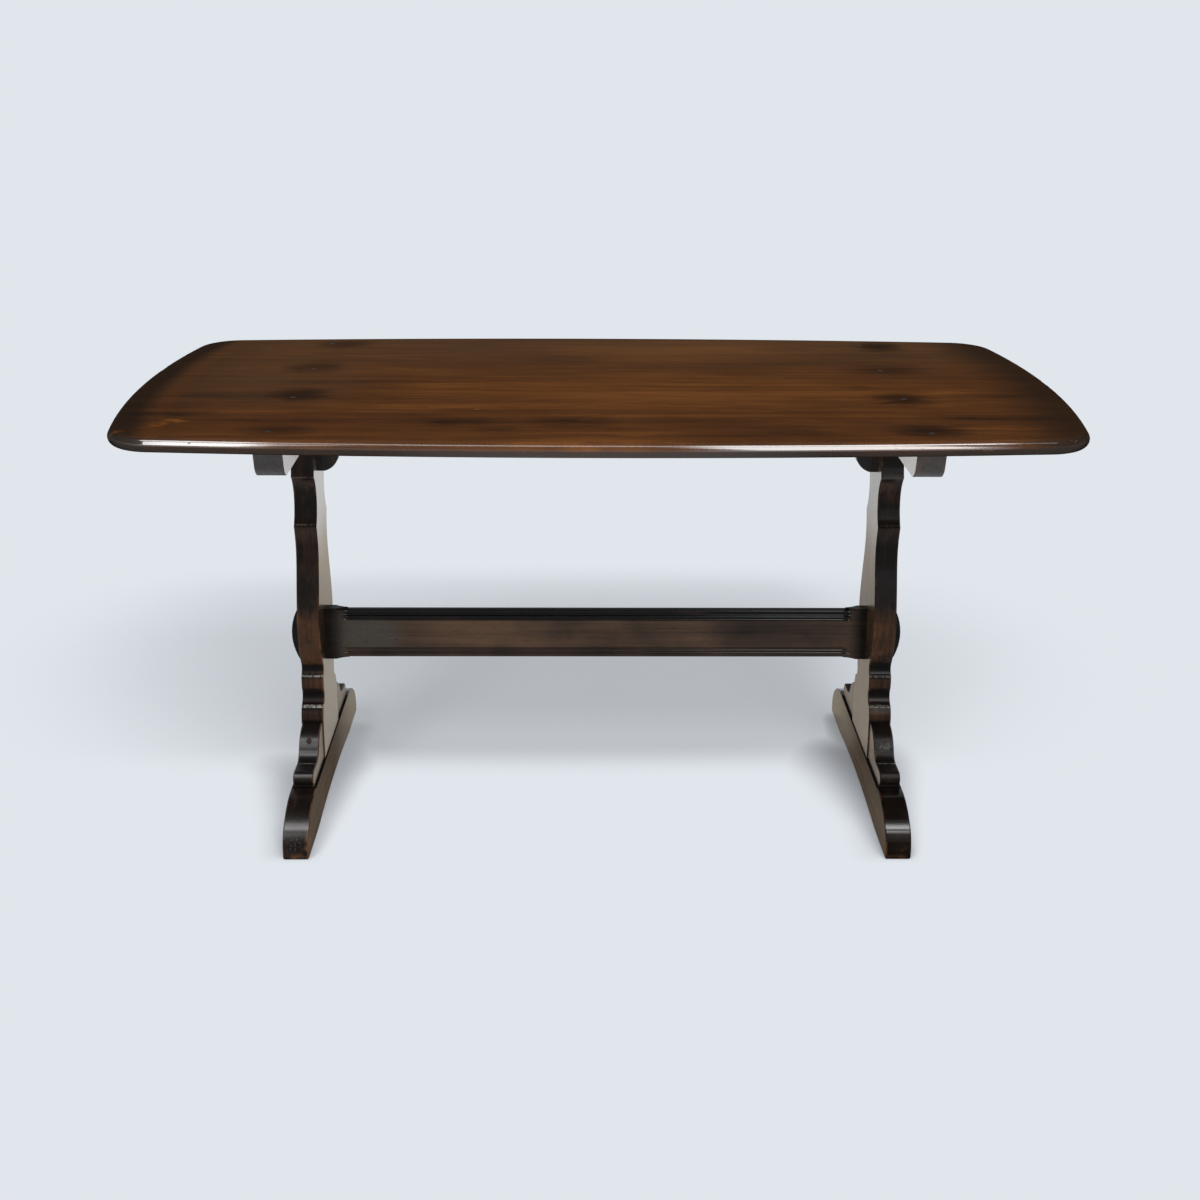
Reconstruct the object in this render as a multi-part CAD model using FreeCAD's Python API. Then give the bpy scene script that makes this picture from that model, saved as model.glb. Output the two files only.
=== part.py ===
import FreeCAD, Part
import math
import os

# Refectory table: a boarded, boat-shaped top on two cut-out trestles, tied by one stretcher
# whose tenons pass through the legs.
# Millimetres. X runs along the table, Y towards the back, Z up.
# The origin is on the floor under the middle of the table.

Vector = FreeCAD.Vector
leftwards = Vector(-1, 0, 0)
rightwards = Vector(1, 0, 0)
backwards = Vector(0, 1, 0)
downwards = Vector(0, 0, -1)
upwards = Vector(0, 0, 1)
quarter_turn = 90.0
full_turn = 360.0
diagonal_share = math.sqrt(0.5)

# Driving dimensions of the whole table
table_height = 730.0
top_length = 1516.0
top_width = 762.0
trestle_offset = 490.0     # middle of the table to the middle plane of a trestle
fit_gap = 0.2              # clearance of a glued tenon, tongue or screw in its hole
overrun = 6.0              # how far a cutting shape passes the surface that it starts from

# Top
top_thickness = 24.0
side_bow_radius = 8800.0   # the long sides bow gently outwards
end_bow_radius = 1700.0
corner_radius = 76.0
rim_flat = 0.4             # band left between the two roundings of the rim
inner_board_width = 205.0
tongue_thickness = 8.0
tongue_depth = 9.0

# Bearers under the top
bearer_width = 44.0
bearer_height = 48.0
bearer_setback = 50.0      # how far each end stays inside the top's widest place
bearer_rake = 12.8         # how much shorter each end is below than above
bearer_toe_radius = 27.5
bearer_easing = 1.5

# Legs
leg_thickness = 38.0
leg_base_width = 155.0
leg_easing = 1.8
top_tenon_thickness = 16.0
top_tenon_width = 84.0
top_tenon_length = 30.0
foot_tenon_thickness = 18.0
foot_tenon_width = 110.0
foot_tenon_length = 45.0

# Feet
foot_length = 568.0
foot_height = 79.0
foot_thickness = 42.0
foot_toe_setback = 4.0     # the toe starts to fall this far beyond the ear
foot_toe_drop = 62.0       # height of the curve, which is upright at its lower end
foot_toe_radius = 45.0     # of the curve's lower arc
foot_sole_radius = 6.0     # below each toe
foot_sole_bevel = 4.0      # along the sides of the sole
foot_pad_length = 60.0     # flat under each toe; between the two pads the sole is hollowed
foot_hollow_depth = 13.0
foot_easing = 2.0

# Ears: the scrolled pieces that stand on the feet against the legs
ear_length = 112.5
ear_height = 69.0
ear_thickness = 34.0
ear_easing = 1.6

# Stretcher
stretcher_height = 94.0
stretcher_thickness = 18.0
stretcher_middle_height = 284.0
tenon_projection = 21.5    # how far the rounded tenon end passes the outer face of the leg
tenon_end_radius = 100.0
moulding_width = 19.0
moulding_depth = 4.0
moulding_drop = 3.0        # the moulded stretch is this much shallower at each long edge
moulding_margin = 42.0     # plain wood left beside each leg
moulding_cutter_radius = 30.0
kerf_width = 2.0           # saw mark below the mortise
kerf_height = 8.0
kerf_depth = 4.0

# Knee brackets on the inner faces of the legs, under the top
bracket_thickness = 24.0
bracket_reach = 88.0
bracket_height = 126.0
bracket_easing = 1.5

# Fastenings
peg_diameter = 8.5
peg_rise = 10.0            # above the middle of the stretcher
peg_end_depth = 26.0       # the blind end of the peg passes the middle plane by this much
screw_shank_diameter = 4.4
screw_head_diameter = 8.4
screw_head_rim = 0.5
screw_head_cone = 2.8
screw_slot_width = 1.2
screw_slot_depth = 1.1
screw_tip = 5.0
plug_diameter = 10.0
top_screw_length = 45.0
top_plug_depth = 8.0
top_screw_inner_place = 104.0
top_screw_edge_margin = 65.0   # from the outer screws to the top's widest place
ear_screw_length = 50.0
ear_screw_rise = 53.0      # above the foot
ear_screw_seat = 23.0      # wood left between the screw's head and the leg
ear_plug_diameter = 9.0
ear_plug_recess = 0.8
foot_screw_length = 70.0
foot_screw_reach = 54.5    # out from the leg's edge
foot_screw_hold = 47.0     # wood left between the screw's head and the ear
bracket_screw_length = 45.0
bracket_screw_low_rise = 18.0    # above the bracket's lower end
bracket_screw_high_rise = 60.0
bracket_screw_seat = 13.0
bracket_bore_diameter = 9.5

# Places worked out from the sizes above
top_underside = table_height - top_thickness
bearer_underside = top_underside - bearer_height
leg_height = bearer_underside - foot_height
leg_base_half = leg_base_width / 2
leg_inner_face = trestle_offset - leg_thickness / 2
leg_outer_face = trestle_offset + leg_thickness / 2
stretcher_top = stretcher_middle_height + stretcher_height / 2
stretcher_bottom = stretcher_middle_height - stretcher_height / 2
bracket_bottom = top_underside - bracket_height
bearer_half_length = top_width / 2 - bearer_setback
peg_height = stretcher_middle_height + peg_rise
ear_screw_height = foot_height + ear_screw_rise
foot_screw_sink = foot_height - foot_screw_hold
foot_screw_place = leg_base_half + foot_screw_reach

# Outline of a leg's edge, from the foot up: each step is the points of a line, an arc or a
# smooth curve, as shares of half the base width and of the height between the shoulders
leg_outline_shares = [
    [(1.0, 0.0), (1.0, 0.126)],
    [(1.0, 0.126), (0.963, 0.147), (0.91, 0.164)],
    [(0.91, 0.164), (0.717, 0.188), (0.755, 0.211)],
    [(0.755, 0.211), (0.774, 0.231), (0.755, 0.252)],
    [(0.755, 0.252), (0.653, 0.274), (0.71, 0.294)],
    [(0.71, 0.294), (0.806, 0.32), (0.908, 0.364), (0.951, 0.413), (0.924, 0.444),
     (0.743, 0.551), (0.649, 0.603), (0.619, 0.644), (0.644, 0.677), (0.723, 0.718)],
    [(0.723, 0.718), (0.575, 0.755), (0.529, 0.798), (0.585, 0.834), (0.77, 0.87)],
    [(0.77, 0.87), (0.688, 0.924), (0.8, 1.0)],
]

# Outline of an ear, from its top beside the leg to its toe, as shares of its length and height
ear_outline_shares = [
    [(0.0, 0.0), (0.0, 1.0)],
    [(0.0, 1.0), (0.265, 0.9), (0.432, 0.58)],
    [(0.432, 0.58), (0.507, 0.449), (0.636, 0.386)],
    [(0.636, 0.386), (0.896, 0.391)],
    [(0.896, 0.391), (0.976, 0.319), (0.978, 0.145)],
    [(0.978, 0.145), (0.951, 0.08)],
    [(0.951, 0.08), (0.951, 0.0)],
    [(0.951, 0.0), (0.0, 0.0)],
]

# Outline of a knee bracket from the leg inwards, as shares of its reach and height
bracket_outline_shares = [
    [(0.0, 0.0), (0.12, 0.0)],
    [(0.12, 0.0), (0.305, 0.078), (0.386, 0.182)],
    [(0.386, 0.182), (0.557, 0.58), (1.0, 0.905)],
    [(1.0, 0.905), (1.0, 1.0)],
]

# Section of the stretcher's moulding, as shares of its depth into the face and of its width
moulding_outline_shares = [
    [(0.0, 1.0), (0.48, 0.93), (0.55, 0.8)],
    [(0.55, 0.8), (0.1, 0.68), (0.55, 0.56)],
    [(0.55, 0.56), (1.0, 0.45), (0.5, 0.34)],
    [(0.5, 0.34), (0.5, 0.12)],
    [(0.5, 0.12), (0.7, 0.04), (1.15, 0.0)],
]


# Geometry helpers

def block(low, high):
    size = high - low
    return Part.makeBox(size.x, size.y, size.z, low)


def rod(start, direction, length, diameter):
    return Part.makeCylinder(diameter / 2, length, start, direction)


def edge_through(points):
    """A straight edge through two points, an arc through three, or a smooth curve through more."""
    if len(points) == 2:
        return Part.makeLine(*points)
    if len(points) == 3:
        return Part.Arc(*points).toShape()
    curve = Part.BSplineCurve()
    curve.interpolate(points)
    return curve.toShape()


def traced(outline_shares, place):
    """The edges of an outline of shares, with place giving each point's position."""
    return [edge_through([place(*share) for share in step]) for step in outline_shares]


def filled(edges):
    return Part.Face(Part.Wire(Part.__sortEdges__(edges)))


def mirrored(shape, normal):
    return shape.mirror(Vector(0, 0, 0), normal)


def thick(face, direction, thickness):
    """A flat face thickened equally to both sides."""
    centred = face.translated(direction * (-thickness / 2))
    return centred.extrude(direction * thickness)


def eased_plate(face, direction, thickness, easing, inwards):
    """A flat face thickened to both sides, its free edges bevelled back the inwards way."""
    core = thick(face, direction, thickness - 2 * easing)
    shoulder = face.translated(direction * (thickness / 2 - easing))
    leaning = shoulder.extrude((direction + inwards) * easing)
    bevelled = leaning.common(shoulder.extrude(direction * easing))
    return joined([core, bevelled, mirrored(bevelled, direction)]).removeSplitter()


def rounded_arrises(solid, radius, chosen):
    """Round the edges for which chosen says yes at the edge's middle."""
    edges = [edge for edge in solid.Edges if chosen(middle_of(edge))]
    return solid.makeFillet(radius, edges)


def middle_of(edge):
    return edge.valueAt((edge.FirstParameter + edge.LastParameter) / 2)


def near(value, target):
    return abs(value - target) < fit_gap


def aimed(shape, place, direction):
    """A shape that was made pointing down from the origin, put at a place and turned."""
    turned = shape.copy()
    turned.Placement = FreeCAD.Placement(place, FreeCAD.Rotation(downwards, direction))
    return turned


def joined(solids):
    return solids[0].fuse(solids[1:]) if len(solids) > 1 else solids[0]


def bored(solid, cutters):
    return solid.cut(cutters)


# Screws and their holes

def turned_about_axis(radii_and_depths):
    points = [Vector(radius, 0, -depth) for radius, depth in radii_and_depths]
    outline = Part.makePolygon(points + points[:1])
    return Part.Face(outline).revolve(Vector(0, 0, 0), upwards, full_turn)


def wood_screw(length):
    """A slotted countersunk wood screw, head at the origin, pointing down."""
    head = screw_head_diameter / 2
    shank = screw_shank_diameter / 2
    neck = screw_head_rim + screw_head_cone
    screw = turned_about_axis([
        (0, 0), (head, 0), (head, screw_head_rim), (shank, neck),
        (shank, length - screw_tip), (0, length)])
    slot = block(Vector(-screw_head_diameter, -screw_slot_width / 2, -screw_slot_depth),
                 Vector(screw_head_diameter, screw_slot_width / 2, overrun))
    return screw.cut(slot)


def screw_hole(length, bore_diameter, bore_length):
    """The hole for a wood screw, with a counterbore above its head."""
    head = screw_head_diameter / 2 + fit_gap
    shank = screw_shank_diameter / 2 + fit_gap / 2
    neck = screw_head_rim + screw_head_cone
    hole = turned_about_axis([
        (0, 0), (head, 0), (head, screw_head_rim), (shank, neck + fit_gap),
        (shank, length - screw_tip), (0, length + fit_gap)])
    bore = rod(Vector(0, 0, 0), upwards, bore_length, bore_diameter)
    return hole.fuse(bore)


# Top

def circle_crossing(first_centre, first_radius, second_centre, second_radius):
    """The crossing of two circles that lies in the first quarter of the plan."""
    span = second_centre - first_centre
    distance = span.Length
    along = (first_radius ** 2 - second_radius ** 2 + distance ** 2) / (2 * distance)
    across = math.sqrt(first_radius ** 2 - along ** 2)
    middle = first_centre + span * (along / distance)
    sideways = Vector(-span.y, span.x, 0) * (across / distance)
    crossings = [middle + sideways, middle - sideways]
    return max(crossings, key=lambda point: min(point.x, point.y))


def on_circle(centre, radius, towards):
    direction = towards - centre
    return centre + direction * (radius / direction.Length)


def top_plan():
    """Plan of the top: bowed sides and ends joined by tangent corner arcs."""
    side_middle = Vector(0, top_width / 2, 0)
    end_middle = Vector(top_length / 2, 0, 0)
    side_centre = side_middle - backwards * side_bow_radius
    end_centre = end_middle - rightwards * end_bow_radius
    corner_centre = circle_crossing(side_centre, side_bow_radius - corner_radius,
                                    end_centre, end_bow_radius - corner_radius)
    side_joint = on_circle(side_centre, side_bow_radius, corner_centre)
    end_joint = on_circle(end_centre, end_bow_radius, corner_centre)
    corner_direction = (side_joint + end_joint) * 0.5 - corner_centre
    corner_middle = corner_centre + corner_direction * (corner_radius / corner_direction.Length)
    side_arc = edge_through([flipped(side_joint, leftwards), side_middle, side_joint])
    end_arc = edge_through([end_joint, end_middle, flipped(end_joint, backwards)])
    corner_arc = edge_through([side_joint, corner_middle, end_joint])
    corners = [corner_arc, mirrored(corner_arc, rightwards), mirrored(corner_arc, backwards)]
    corners.append(mirrored(corners[1], backwards))
    sides = [side_arc, mirrored(side_arc, backwards), end_arc, mirrored(end_arc, rightwards)]
    return filled(sides + corners)


def flipped(point, normal):
    return point - normal * (2 * point.dot(normal))


def top_slab():
    """The whole top with its rounded rim, before it is parted into boards."""
    slab = top_plan().extrude(upwards * top_thickness)
    rim_radius = (top_thickness - rim_flat) / 2
    slab = rounded_arrises(slab, rim_radius,
                           lambda place: near(place.z, 0) or near(place.z, top_thickness))
    return slab.translated(upwards * top_underside)


def board_strip(front, back, bottom, top):
    reach = top_length / 2 + overrun
    return block(Vector(-reach, front, bottom), Vector(reach, back, top))


def top_screw_places():
    rows = [top_screw_inner_place, top_width / 2 - top_screw_edge_margin]
    return [Vector(side * trestle_offset, half * row, table_height - top_plug_depth)
            for side in (-1, 1) for half in (-1, 1) for row in rows]


def top_screw_holes():
    hole = screw_hole(top_screw_length, plug_diameter, top_plug_depth + overrun)
    return [aimed(hole, place, downwards) for place in top_screw_places()]


def top_boards():
    """Four boards, front to back, each tongued into the next."""
    slab = top_slab()
    holes = top_screw_holes()
    outer = top_width / 2 + overrun
    seams = [-outer, -inner_board_width, 0, inner_board_width, outer]
    middle = top_underside + top_thickness / 2
    half = tongue_thickness / 2
    low = top_underside - overrun
    high = table_height + overrun
    last = len(seams) - 2
    boards = []
    for index in range(last + 1):
        front = seams[index]
        back = seams[index + 1]
        board = slab.common(board_strip(front, back, low, high))
        if index < last:
            tongue = board_strip(back, back + tongue_depth, middle - half, middle + half)
            board = board.fuse(slab.common(tongue)).removeSplitter()
        if index > 0:
            groove = board_strip(front, front + tongue_depth + fit_gap,
                                 middle - half - fit_gap, middle + half + fit_gap)
            board = board.cut(groove)
        boards.append(bored(board, holes))
    return boards


# Trestles, drawn on the right of the table

def leg_edge_place(width_share, height_share):
    return Vector(0, leg_base_half * width_share, foot_height + leg_height * height_share)


def leg_board():
    """The leg between its shoulders, cut to its outline and with its arrises eased."""
    back_edge = traced(leg_outline_shares, leg_edge_place)
    base = leg_edge_place(*leg_outline_shares[0][0])
    crown = leg_edge_place(*leg_outline_shares[-1][-1])
    ring = [base, Vector(0, 0, base.z), Vector(0, 0, crown.z), crown]
    inner_edges = [edge_through(list(pair)) for pair in zip(ring, ring[1:])]
    back_half = eased_plate(filled(back_edge + inner_edges), rightwards, leg_thickness,
                            leg_easing, -backwards)
    board = joined([back_half, mirrored(back_half, backwards)]).removeSplitter()
    return board.translated(rightwards * trestle_offset)


def centred_block(width, depth, bottom, top):
    """A block round the trestle's middle line: width along X, depth along Y."""
    return block(Vector(trestle_offset - width / 2, -depth / 2, bottom),
                 Vector(trestle_offset + width / 2, depth / 2, top))


def top_tenon(gap):
    return centred_block(top_tenon_thickness + 2 * gap, top_tenon_width + 2 * gap,
                         bearer_underside, bearer_underside + top_tenon_length + gap)


def foot_tenon(gap):
    return centred_block(foot_tenon_thickness + 2 * gap, foot_tenon_width + 2 * gap,
                         foot_height - foot_tenon_length - gap, foot_height)


def stretcher_mortise():
    half_thickness = stretcher_thickness / 2 + fit_gap
    return block(Vector(leg_inner_face - overrun, -half_thickness, stretcher_bottom - fit_gap),
                 Vector(leg_outer_face + overrun, half_thickness, stretcher_top + fit_gap))


def mortise_kerf():
    return block(Vector(leg_inner_face - overrun, -kerf_width / 2, stretcher_bottom - kerf_height),
                 Vector(leg_inner_face + kerf_depth, kerf_width / 2, stretcher_middle_height))


def peg_bore(diameter, end_depth):
    start = Vector(trestle_offset, -leg_base_half - overrun, peg_height)
    return rod(start, backwards, leg_base_half + overrun + end_depth, diameter)


def leg(board):
    body = joined([board, top_tenon(0), foot_tenon(0)]).removeSplitter()
    return bored(body, [stretcher_mortise(), mortise_kerf(),
                        peg_bore(peg_diameter + fit_gap, peg_end_depth + fit_gap)]
                 + ear_screw_holes() + bracket_screw_holes())


def stretcher_peg(board):
    return peg_bore(peg_diameter, peg_end_depth).common(board)


def toe_arcs(high, low):
    """Two arcs that meet smoothly, level at the high end and upright at the low one."""
    run = low.y - high.y
    drop = high.z - low.z
    spare = run ** 2 + drop ** 2 - 2 * run * foot_toe_radius
    crown_radius = spare / (2 * (drop - foot_toe_radius))
    crown_centre = high + downwards * crown_radius
    front_centre = low - backwards * foot_toe_radius
    joint = on_circle(crown_centre, crown_radius, front_centre)
    crown_middle = on_circle(crown_centre, crown_radius, (high + joint) * 0.5)
    front_middle = on_circle(front_centre, foot_toe_radius, (joint + low) * 0.5)
    return [edge_through([high, crown_middle, joint]), edge_through([joint, front_middle, low])]


def foot_blank():
    """A foot in side view, with a long curve at each toe and a small arc below it."""
    half = foot_length / 2
    sole_start = half - foot_sole_radius
    sole_sweep = foot_sole_radius * diagonal_share
    toe_top = Vector(0, leg_base_half + ear_length + foot_toe_setback, foot_height)
    toe_front = Vector(0, half, foot_height - foot_toe_drop)
    sole_high = Vector(0, half, foot_sole_radius)
    sole_middle = Vector(0, sole_start + sole_sweep, foot_sole_radius - sole_sweep)
    sole_low = Vector(0, sole_start, 0)
    toe = toe_arcs(toe_top, toe_front)
    toe.append(edge_through([toe_front, sole_high]))
    toe.append(edge_through([sole_high, sole_middle, sole_low]))
    other_toe = [mirrored(edge, backwards) for edge in toe]
    level_edges = [edge_through([flipped(end, backwards), end]) for end in (toe_top, sole_low)]
    return filled(toe + other_toe + level_edges)


def sole_hollow():
    """The shallow round hollow under a foot, between the pads of its toes."""
    half = foot_length / 2 - foot_sole_radius - foot_pad_length
    radius = (half ** 2 + foot_hollow_depth ** 2) / (2 * foot_hollow_depth)
    reach = foot_thickness / 2 + overrun
    start = Vector(-reach, 0, foot_hollow_depth - radius)
    return rod(start, rightwards, 2 * reach, 2 * radius)


def sole_bevels():
    """The wood taken off along both sides of a foot's sole."""
    inner = foot_thickness / 2 - foot_sole_bevel - overrun
    outer = foot_thickness / 2 + overrun
    corners = [Vector(inner, 0, -overrun), Vector(outer, 0, foot_sole_bevel + overrun),
               Vector(outer, 0, -overrun), Vector(inner, 0, -overrun)]
    bevel = thick(Part.Face(Part.makePolygon(corners)), backwards, foot_length + overrun)
    return [bevel, mirrored(bevel, rightwards)]


def foot():
    """A sledge foot with round toes, its sole bevelled and hollowed between them."""
    body = thick(foot_blank(), rightwards, foot_thickness)
    body = rounded_arrises(
        body, foot_easing,
        lambda place: near(abs(place.x), foot_thickness / 2) and place.z > foot_sole_radius)
    body = bored(body, [sole_hollow()] + sole_bevels())
    body = body.translated(rightwards * trestle_offset)
    return bored(body, [foot_tenon(fit_gap)] + foot_screw_holes())


def ear_place(length_share, height_share):
    return Vector(0, leg_base_half + ear_length * length_share,
                  foot_height + ear_height * height_share)


def ear_board():
    """The ear behind the leg before it is bored; the one in front is its mirror image."""
    board = eased_plate(filled(traced(ear_outline_shares, ear_place)), rightwards,
                        ear_thickness, ear_easing, downwards - backwards)
    return board.translated(rightwards * trestle_offset)


def ear(board):
    return bored(board, ear_screw_holes() + foot_screw_holes())


def bearer():
    """The rail under the top, its ends raked and rounded below."""
    crown = Vector(0, bearer_half_length, top_underside)
    toe = Vector(0, bearer_half_length - bearer_rake, bearer_underside)
    corners = [crown, toe, flipped(toe, backwards), flipped(crown, backwards), crown]
    body = thick(Part.Face(Part.makePolygon(corners)), rightwards, bearer_width)
    body = rounded_arrises(
        body, bearer_toe_radius,
        lambda place: near(place.z, bearer_underside) and near(abs(place.y), toe.y))
    body = rounded_arrises(
        body, bearer_easing,
        lambda place: near(abs(place.x), bearer_width / 2) and place.z < top_underside - fit_gap)
    body = body.translated(rightwards * trestle_offset)
    return bored(body, [top_tenon(fit_gap)] + top_screw_holes())


def bracket_place(reach_share, height_share):
    return Vector(leg_inner_face - bracket_reach * reach_share, 0,
                  bracket_bottom + bracket_height * height_share)


def knee_bracket():
    """An S-curved bracket between the leg's inner face and the underside of the top."""
    curve = traced(bracket_outline_shares, bracket_place)
    start = bracket_place(*bracket_outline_shares[0][0])
    crown = bracket_place(*bracket_outline_shares[-1][-1])
    bearer_face = trestle_offset - bearer_width / 2
    notch = [crown, Vector(bearer_face, 0, top_underside), Vector(bearer_face, 0, bearer_underside),
             Vector(leg_inner_face, 0, bearer_underside), start]
    back = [edge_through(list(pair)) for pair in zip(notch, notch[1:])]
    body = eased_plate(filled(curve + back), backwards, bracket_thickness, bracket_easing,
                       rightwards + upwards)
    return bored(body, bracket_screw_holes())


# Fastenings of a trestle

def ear_screw_seats():
    """Where the ear screws' heads sit, with the way that each screw points."""
    seat = leg_base_half + ear_screw_seat
    return [(Vector(trestle_offset, half * seat, ear_screw_height), backwards * -half)
            for half in (-1, 1)]


def ear_screw_holes():
    hole = screw_hole(ear_screw_length, ear_plug_diameter, ear_length)
    return [aimed(hole, place, direction) for place, direction in ear_screw_seats()]


def ear_screws():
    screw = wood_screw(ear_screw_length)
    return [aimed(screw, place, direction) for place, direction in ear_screw_seats()]


def ear_plugs(board):
    """Plugs over the ear screws, pared a little below the ear's curved face."""
    seat = Vector(trestle_offset, leg_base_half + ear_screw_seat, ear_screw_height)
    plug = rod(seat, backwards, ear_length, ear_plug_diameter - fit_gap)
    pared = plug.common(board.translated(backwards * -ear_plug_recess))
    return [pared, mirrored(pared, backwards)]


def foot_screw_seats():
    return [Vector(trestle_offset, half * foot_screw_place, foot_screw_sink) for half in (-1, 1)]


def foot_screw_holes():
    hole = screw_hole(foot_screw_length, plug_diameter, foot_screw_sink + overrun)
    return [aimed(hole, place, upwards) for place in foot_screw_seats()]


def foot_screws():
    screw = wood_screw(foot_screw_length)
    return [aimed(screw, place, upwards) for place in foot_screw_seats()]


def bracket_screw_seats():
    return [Vector(leg_inner_face - bracket_screw_seat, 0, height)
            for height in (bracket_bottom + bracket_screw_low_rise,
                           bracket_bottom + bracket_screw_high_rise)]


def bracket_screw_holes():
    hole = screw_hole(bracket_screw_length, bracket_bore_diameter, bracket_reach)
    return [aimed(hole, place, rightwards) for place in bracket_screw_seats()]


def bracket_screws():
    screw = wood_screw(bracket_screw_length)
    return [aimed(screw, place, rightwards) for place in bracket_screw_seats()]


def top_screws():
    screw = wood_screw(top_screw_length)
    return [aimed(screw, place, downwards) for place in top_screw_places()]


def top_plugs():
    plug = rod(Vector(0, 0, 0), upwards, top_plug_depth, plug_diameter - fit_gap)
    return [aimed(plug, place, downwards) for place in top_screw_places()]


# Stretcher

def moulding_place(depth_share, width_share):
    return Vector(0, -stretcher_thickness / 2 + moulding_depth * depth_share,
                  stretcher_top - moulding_drop - moulding_width * width_share)


def moulding_cutter():
    """What the moulding takes from the front upper edge, run out at both ends in a cutter's arc."""
    curve = traced(moulding_outline_shares, moulding_place)
    inner = moulding_place(*moulding_outline_shares[-1][-1])
    outer = moulding_place(*moulding_outline_shares[0][0])
    ring = [inner, Vector(0, fit_gap, inner.z),
            Vector(0, fit_gap, stretcher_top + overrun),
            Vector(0, outer.y - overrun, stretcher_top + overrun),
            Vector(0, outer.y - overrun, outer.z), outer]
    sides = [edge_through(list(pair)) for pair in zip(ring, ring[1:])]
    section = filled(curve + sides)
    stop = leg_inner_face - moulding_margin
    straight = section.translated(leftwards * stop).extrude(rightwards * (2 * stop))
    axis = Vector(stop, -stretcher_thickness / 2 - moulding_cutter_radius, 0)
    run_out = section.translated(rightwards * stop).revolve(axis, upwards, -quarter_turn)
    return joined([straight, run_out, mirrored(run_out, rightwards)])


def stretcher():
    """One plank with stopped mouldings on its four long edges and rounded through tenons."""
    reach = leg_outer_face + tenon_projection
    half_height = stretcher_height / 2
    sagitta = tenon_end_radius - math.sqrt(tenon_end_radius ** 2 - half_height ** 2)
    end_corner = reach - sagitta
    tip = Vector(reach, 0, stretcher_middle_height)
    high = Vector(end_corner, 0, stretcher_top)
    low = Vector(end_corner, 0, stretcher_bottom)
    end = edge_through([high, tip, low])
    levels = [edge_through([flipped(corner, rightwards), corner]) for corner in (high, low)]
    body = thick(filled([end, mirrored(end, rightwards)] + levels), backwards,
                 stretcher_thickness)
    cutter = moulding_cutter()
    lower_cutter = cutter.mirror(Vector(0, 0, stretcher_middle_height), upwards)
    cutters = [cutter, lower_cutter, mirrored(cutter, backwards), mirrored(lower_cutter, backwards)]
    body = body.cut(cutters)
    bores = [peg_bore(peg_diameter + fit_gap, peg_end_depth + fit_gap)]
    bores.append(mirrored(bores[0], rightwards))
    return bored(body, bores)


# Nodes

def both_sides(name, shape):
    """The right-hand shape and its mirror image on the left."""
    return {name + "_right": shape, name + "_left": mirrored(shape, rightwards)}


def group(shapes):
    return Part.makeCompound(shapes)


def all_nodes():
    nodes = {}
    board_names = ["top_board_front", "top_board_inner_front",
                   "top_board_inner_back", "top_board_back"]
    nodes.update(zip(board_names, top_boards()))
    board = leg_board()
    plain_ear = ear_board()
    back_ear = ear(plain_ear)
    nodes.update(both_sides("bearer", bearer()))
    nodes.update(both_sides("leg", leg(board)))
    nodes.update(both_sides("foot", foot()))
    nodes.update(both_sides("ear_back", back_ear))
    nodes.update(both_sides("ear_front", mirrored(back_ear, backwards)))
    nodes.update(both_sides("knee_bracket", knee_bracket()))
    nodes.update(both_sides("stretcher_peg", stretcher_peg(board)))
    nodes["stretcher"] = stretcher()
    nodes["top_screws"] = group(top_screws())
    nodes["top_screw_plugs"] = group(top_plugs())
    nodes.update(both_sides("ear_screws", group(ear_screws())))
    nodes.update(both_sides("ear_screw_plugs", group(ear_plugs(plain_ear))))
    nodes.update(both_sides("foot_screws", group(foot_screws())))
    nodes.update(both_sides("bracket_screws", group(bracket_screws())))
    return nodes


os.makedirs("parts", exist_ok=True)
for name, shape in all_nodes().items():
    shape.exportStep("parts/" + name + ".step")
    print(name, len(shape.Solids), "solids, valid", shape.isValid(),
          "volume", round(shape.Volume), "mm3")
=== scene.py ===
import functools
import math
from types import SimpleNamespace

import bpy
from mathutils import Matrix, Vector


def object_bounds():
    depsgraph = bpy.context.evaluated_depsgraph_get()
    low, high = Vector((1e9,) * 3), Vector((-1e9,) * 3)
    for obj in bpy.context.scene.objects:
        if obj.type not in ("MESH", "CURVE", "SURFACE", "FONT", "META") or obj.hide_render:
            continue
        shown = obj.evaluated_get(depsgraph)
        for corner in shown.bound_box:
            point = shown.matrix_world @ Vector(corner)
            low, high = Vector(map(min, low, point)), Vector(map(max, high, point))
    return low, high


# Refectory table: finishes, floor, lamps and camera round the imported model
# Metres, X along the table, Y towards its back, Z up

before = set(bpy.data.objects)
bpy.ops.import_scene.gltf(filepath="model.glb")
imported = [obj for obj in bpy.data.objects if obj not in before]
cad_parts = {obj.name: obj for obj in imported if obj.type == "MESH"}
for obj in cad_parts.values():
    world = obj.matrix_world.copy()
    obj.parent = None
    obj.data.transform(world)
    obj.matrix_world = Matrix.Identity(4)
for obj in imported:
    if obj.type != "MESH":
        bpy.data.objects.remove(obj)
cadBox = [list(corner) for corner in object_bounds()]
print("frame loaded,", len(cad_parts), "nodes")


# Colours are written as they show on a screen, 0 to 255
def tint(red, green, blue):
    shares = [channel / 255 for channel in (red, green, blue)]
    linear = [s / 12.92 if s <= 0.04045 else ((s + 0.055) / 1.055) ** 2.4 for s in shares]
    return (*linear, 1.0)


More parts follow.
